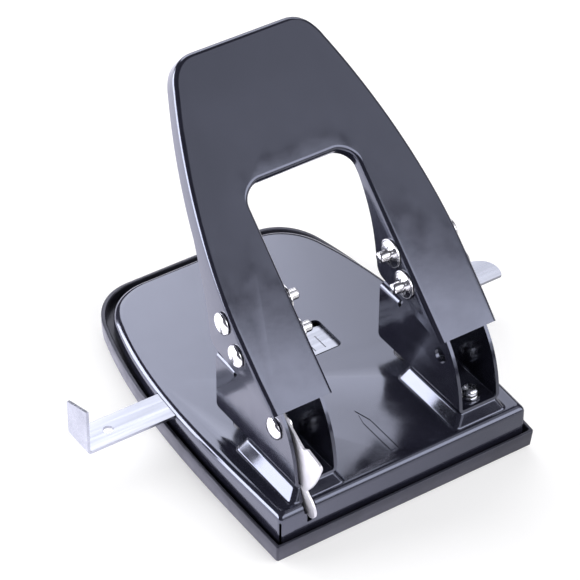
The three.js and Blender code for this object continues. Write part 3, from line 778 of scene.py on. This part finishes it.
def handle_body(name, skin, depth):
    """The handle as a solid with rounded shoulders, drawn in all over by skin."""
    outline = handle_outline()
    radius = WEB_BEND - skin
    rings = []
    flare = []
    for k in range(7):
        a = math.pi / 2 * k / 6
        z = -skin - radius * (1 - math.sin(a))
        inward = skin + radius * (1 - math.cos(a))
        rings.append([(x, y, z) for x, y in inset(outline, inward)])
        flare.append([(x, y, z) for x, y in opening_outline(inward)])
    rings.insert(0, [(x, y, -depth) for x, y in inset(outline, skin)])
    flare.insert(0, [(x, y, -depth - 5) for x, y in opening_outline(skin)])
    flare.append([(x, y, 5) for x, y in opening_outline(skin + radius)])
    return cut(loft(name, rings), loft("flare", flare))


def reach(name, least):
    """Everything in front of the flanges' free edge, which is least deep above the waist."""
    waist = curve((40, 23.4), (50, 16), (58, least + 3.5), (76, least), 24)
    tip = curve((33.2, 22.4), (35.2, 23.7), (36.8, 24.8), (40, 23.4), 6)
    free = [(0, 1.9)] + tip + waist[1:] + [(150, least - 1.2), (150, -3), (0, -3)]
    return prism(name, [(y, -z) for y, z in free], -THROUGH, THROUGH, side)


def build_handle():
    def inner_zone():
        return prism("inner_zone", opening_outline(5), -60, 20)

    shell = cut(handle_body("handle_shell", 0, 30), handle_body("hollow", WEB_SHEET, 34))
    outer_reach = cut(reach("outer_reach", FLANGE["outer_reach"]), inner_zone())
    inner_reach = common(reach("inner_reach", FLANGE["inner_reach"]), inner_zone())
    handle = common(shell, join(outer_reach, inner_reach))
    unturn = Matrix.Rotation(-WEB_TILT, 4, "X")
    cutters = []
    for y, z in (PIVOT, DRIVER):
        at = unturn @ Vector((0, y - WEB_FOOT[0], z - WEB_FOOT[1]))
        cutters.append(rod("pin_hole", PIN["hole"], -THROUGH, THROUGH, tuple(at)))
    place(clean(cut(handle, *cutters)), HANDLE, "handle", "black_paint", ["handle"], 0.25, 3)


# ---- pins, nuts, rivet and screws ----------------------------------------------------------------

def dome(radius, height, base, steps=10):
    """Profile of a domed head from its middle to its rim, standing out towards smaller x."""
    return [(radius * math.sin(math.pi / 2 * k / steps), base - height * math.cos(math.pi / 2 * k / steps))
            for k in range(steps + 1)]


def flip_right(thing, name):
    """Mirrors a left-hand piece for the right-hand side."""
    if name == "right":
        thing.data.transform(Matrix.Scale(-1, 4, (1, 0, 0)))
        thing.data.flip_normals()
    return thing


def build_pins():
    rim = -ARM_OUTER - GAP
    tail = -ARM_INNER + PIN["tail"]
    radius, head = PIN["radius"], PIN["head"]
    profile = dome(head, PIN["dome"], rim - 0.25) + [(head - 0.15, rim), (radius, rim)]
    profile += [(radius, tail - 0.8), (radius - 0.1, tail - 0.35), (radius - 0.5, tail), (0, tail)]
    for name in ("left", "right"):
        for kind, (y, z) in (("pivot", PIVOT), ("driver", DRIVER)):
            pin = lathe(f"{kind}_pin_{name}_turned", profile, (0, y, z))
            place(flip_right(pin, name), DECK, "handle", "nickel", [f"{kind}_pin_{name}"], sharp=50)
            nut = push_nut(f"push_nut_{kind}_{name}_star", y, z)
            place(flip_right(nut, name), DECK, "handle", "nickel", [f"push_nut_{kind}_{name}"], 0.12, 2)


def push_nut(name, y, z):
    """A dished star washer with eight slots round its hole."""
    base = -ARM_INNER + GAP
    front = [(2.75, 1.55), (2.75, 1.95), (3.8, 1.85), (4.9, 0.95), (5.4, 0.6), (6.0, 0.6), (6.25, 0.5)]
    back = [(6.3, 0.3), (6.3, 0), (5.2, 0), (4.6, 0.4), (3.7, 1.3), (2.75, 1.55)]
    nut = lathe(name, [(radius, base + height) for radius, height in front + back], (0, y, z), steps=64)
    half, petals = PUSH_NUT["slot"], PUSH_NUT["petals"]
    near, far = PUSH_NUT["slot_from"], PUSH_NUT["slot_to"]
    slots = []
    for k in range(petals):
        slot = block("petal_slot", base - 1, base + 4, -half, half, near, far)
        turn = Matrix.Rotation(2 * math.pi / petals * k, 4, "X")
        slot.data.transform(Matrix.Translation((0, y, z)) @ turn)
        slots.append(slot)
    return cut(nut, *slots)


def build_rivet():
    plate = -HALF_SPACING - BRACKET["half"]
    inner = LATCH["x"] + LATCH["sheet"]
    shank, flare = RIVET_SHANK, inner + 1.3
    profile = dome(RIVET_HEAD, 2.0, plate - 0.45) + [(RIVET_HEAD - 0.1, plate - GAP), (shank, plate - GAP)]
    profile += [(shank, flare), (shank + 0.7, flare), (shank + 0.6, flare + 0.6), (shank - 0.3, flare + 1)]
    profile += [(0, flare + 1)]
    rivet = lathe("latch_rivet_turned", profile, (0, *RIVET))
    place(rivet, DECK, "deck", "nickel", ["latch_rivet"], sharp=50)


def build_screws():
    under = BRACKET["floor"] + SHEET + GAP + SCREW["washer"]
    tip, shank, head = 21, SCREW["shank"], SCREW["head"]
    profile = [(0, tip), (shank - 0.3, tip), (shank, tip + 0.4), (shank, under), (head - 0.1, under)]
    profile += [(head, under + 0.15), (head, under + 1.0), (head - 0.25, under + 1.7)]
    profile += [(head - 0.9, under + 2.25), (head - 1.9, under + 2.55), (0, under + 2.6)]
    for name, x in (("left", -HALF_SPACING), ("right", HALF_SPACING)):
        for end, y in zip(("front", "rear"), SCREW["ys"]):
            screw = lathe(f"screw_{name}_{end}_turned", profile, (x, y, 0), "Z")
            recess = []
            for turn in (CROSS["turn"], CROSS["turn"] + math.pi / 2):
                far, half = CROSS["reach"], CROSS["half"]
                bar = block("cross", -far, far, -half, half, under + CROSS["floor"], under + 4)
                bar.data.transform(Matrix.Translation((x, y, 0)) @ Matrix.Rotation(turn, 4, "Z"))
                recess.append(bar)
            place(cut(screw, *recess), DECK, "deck", "tool_steel", [f"screw_{name}_{end}"], 0.08, 2, 40)


# ---- punches, dies and springs -------------------------------------------------------------------

def build_punches():
    top = DRIVER[1] - PIN["radius"] - GAP
    under = top - PUNCH["head_height"]
    tip, radius, head = PUNCH["tip"], PUNCH["radius"], PUNCH["head"]
    turned_punch = [(0, tip), (radius - 0.15, tip), (radius, tip + 0.15), (radius, under)]
    turned_punch += [(head - 0.2, under), (head, under + 0.2), (head, top - 0.5)]
    turned_punch += [(head - 0.15, top - 0.15), (head - 0.5, top), (0, top)]
    face, bore, rim = PAN["top"], DIE["bore"], DIE["radius"]
    turned_die = [(bore, face - DIE["depth"]), (rim, face - DIE["depth"]), (rim, face)]
    turned_die += [(rim - 0.15, face + DIE["lip"]), (bore + 0.15, face + DIE["lip"]), (bore, face)]
    turned_die += turned_die[:1]
    for name, x in (("left", -HALF_SPACING), ("right", HALF_SPACING)):
        punch = lathe(f"punch_{name}_turned", turned_punch, (x, PUNCH_Y, 0), "Z")
        place(punch, DECK, f"{name}_punch", "tool_steel", [f"punch_{name}"])
        die = lathe(f"die_{name}_turned", turned_die, (x, PUNCH_Y, 0), "Z", 64)
        # The dies get the near-black steel, which paints the shade from the wing above them.
        place(die, DECK, "deck", "shade_dark_steel", [f"die_{name}"])
        build_spring(name, x, BRACKET["wing_top"] + GAP, under - GAP)


def build_spring(name, x, low, high):
    """A compression spring with closed ends, wound between low and high."""
    wire, radius, turns = SPRING["wire"], SPRING["radius"], SPRING["turns"]
    closed, end_rise = SPRING["closed"] / turns, SPRING["end_rise"]
    steps, sides = 40, 10
    low, high = low + wire, high - wire
    verts, faces = [], []
    rows = int(turns * steps) + 1
    for k in range(rows):
        turn = 2 * math.pi * k / steps
        share = k / (rows - 1)
        rise = min(max((share - closed) / (1 - 2 * closed), 0), 1)
        climb = end_rise * min(share / closed, 1) + (1 - 2 * end_rise) * rise
        climb += end_rise * max((share - 1 + closed) / closed, 0)
        height = low + (high - low) * climb
        out = Vector((math.cos(turn), math.sin(turn), 0))
        for j in range(sides):
            a = 2 * math.pi * j / sides
            point = out * (radius + wire * math.cos(a)) + Vector((x, PUNCH_Y, height + wire * math.sin(a)))
            verts.append(tuple(point))
    for k in range(rows - 1):
        for j in range(sides):
            a, b = k * sides + j, k * sides + (j + 1) % sides
            faces.append((a, b, b + sides, a + sides))
    faces.append(tuple(range(sides)))
    faces.append(tuple(range((rows - 1) * sides, rows * sides)))
    spring = mesh_object(f"return_spring_{name}_wire", verts, faces)
    place(spring, DECK, "deck", "spring_steel", [f"return_spring_{name}"], sharp=60)
    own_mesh(spring)


# ---- latch and guide -----------------------------------------------------------------------------

def latch_outline():
    tab = curve((7.2, 18), (4.5, 16.6), (2.4, 14.2), (-0.3, 15.9), 8)
    front = curve((-0.3, 15.9), (-2.2, 17.4), (-3.6, 20.4), (0.6, 24.3), 8)
    stem = curve((4.3, 27), (0.6, 31), (-1.2, 34.5), (-2.9, 38.3), 6)
    nose = curve((-5.5, 44.9), (-5.9, 46.7), (-5.4, 47.3), (-3.2, 47.7), 5)
    neck = curve((3.7, 49.2), (4.8, 49.1), (5.2, 47.6), (7.1, 47.4), 5)
    hook = [(44, 56.9), (55.2, 60.9), (63.6, 60.6), (64.6, 72.4), (59.1, 74.2), (58.9, 71.8), (61.3, 71.4),
            (60.9, 65.9), (55.6, 65.7), (46, 63.8), (30, 59.4), (21.5, 55.6)]
    back = [(9.4, 22.3), (10, 27.5), (15.3, 37.4), (20, 41.6), (26, 43.4), (34, 50.4)]
    return tab[:1] + back + hook + neck[::-1] + nose[::-1] + stem[::-1] + front[::-1] + tab[-2:0:-1]


def build_latch():
    latch = prism("latch_lever", latch_outline(), LATCH["x"], LATCH["x"] + LATCH["sheet"], side)
    hole = rod("hole", RIVET_HOLE, -60, -40, (0, *RIVET))
    place(cut(latch, hole), DECK, "latch", "satin_nickel", ["latch"], 0.2, 2)


def build_guide():
    top, sheet, front, rear = GUIDE["top"], GUIDE["sheet"], GUIDE["front"], GUIDE["rear"]
    left, bend = GUIDE["left"], GUIDE["bend"]
    above = GUIDE_TAB["front"] + 2.5
    profile = [(GUIDE["right"], top - sheet)] + arc(left + bend, top - sheet + bend, bend, -90, -180, 8)
    profile += [(left, top + above), (left + sheet, top + above)]
    profile += arc(left + bend, top - sheet + bend, bend - sheet, 180, 270, 8) + [(GUIDE["right"], top)]
    strip = prism("paper_guide_strip", profile, front, rear, section)
    end = GUIDE["right"] - 1.6
    tongue = curve((end - 1.4, front), (end - 0.3, front), (end, front + 0.6), (end + 0.5, front + 2), 6)
    tongue += curve((end + 0.5, front + 2), (end + 3.2, front + 10),
                    (end - 2, rear), (end - 12, rear), 20)[1:]
    plan = prism("plan", tongue + [(left - 1, rear), (left - 1, front)], 0, 60)
    tab = [(front, 0), (rear, 0), (rear, top + GUIDE_TAB["rear"]), (front, top + GUIDE_TAB["front"])]
    slope = prism("tab_side", tab, -120, 120, side)
    at = (left + GUIDE_HOLE["from_tab"], (front + rear) / 2, 0)
    hole = rod("hole", GUIDE_HOLE["radius"], 10, 30, at, "Z", 32)
    strip = cut(common(strip, plan, slope), hole)
    place(clean(strip), DECK, "paper_guide", "guide_plate", ["paper_guide"], 0.3, 3)
    build_scale()


def build_scale():
    """A printed 8 and scale lines on the strip, where the deck's window shows them."""
    z, ink = GUIDE["top"], GUIDE["top"] + 0.04
    middle = (GUIDE["front"] + GUIDE["rear"]) / 2
    marks = []
    for x in (-14, -9, 9, 14):
        marks.append(block("line", x - 0.2, x + 0.2, GUIDE["front"] + 2, GUIDE["rear"] - 5, z, ink))
    for dy in (-1.45, 1.45):
        outer = prism("digit", arc(0, middle + dy, 1.9, 0, 345, 24), z, ink)
        marks.append(cut(outer, prism("hole", arc(0, middle + dy, 1.3, 0, 345, 24), z - 1, z + 1)))
    scale = join(marks[0], *marks[1:])
    scale.name = "paper_guide_scale"
    scale.data.transform(DECK)
    scale.data.materials.clear()
    scale.data.materials.append(MATERIALS["guide_ink"])
    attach(scale, "paper_guide")


def dress_plain_nodes():
    """Small pieces that mostly hide behind others keep their CAD shape, with rounded edges and a finish."""
    for node, thing in frame["nodes"].items():
        if not thing.hide_render:
            dress(thing, SLOTS[node], 0.15, 2)


# ---- everything ----------------------------------------------------------------------------------

MATERIALS = {make.__name__: make() for make in (
    black_paint, tray_plastic, foot_rubber, satin_nickel, nickel, tool_steel, shade_dark_steel, spring_steel,
    zinc_steel, guide_plate, guide_ink)}

add_camera()
add_world()
add_floor()
add_softbox("rear_softbox", (0.434, 0.68, 0.59), 1.2, (0.8, 1.2), 2.0, 4.2, (-0.2, 0.2), -90)
add_softbox("front_wall", (0.434, -0.68, 0.60), 0.9, (1.5, 1.1), 1.35, 1.0)
add_softbox("front_softbox", (0.434, -0.68, 0.60), 0.8, (1.2, 0.5), 4.0, 0.0, (0.35, 0.5), -30, (0, -0.07))
add_softbox("left_softbox", (-0.76, 0.60, 0.20), 0.9, (1.0, 0.45), 11.0, 11.0)
build_tray()
build_feet()
build_pan()
for bracket_name, bracket_x in (("left", -HALF_SPACING), ("right", HALF_SPACING)):
    build_bracket(bracket_name, bracket_x)
build_handle()
build_pins()
build_rivet()
build_screws()
build_punches()
build_latch()
build_guide()
dress_plain_nodes()
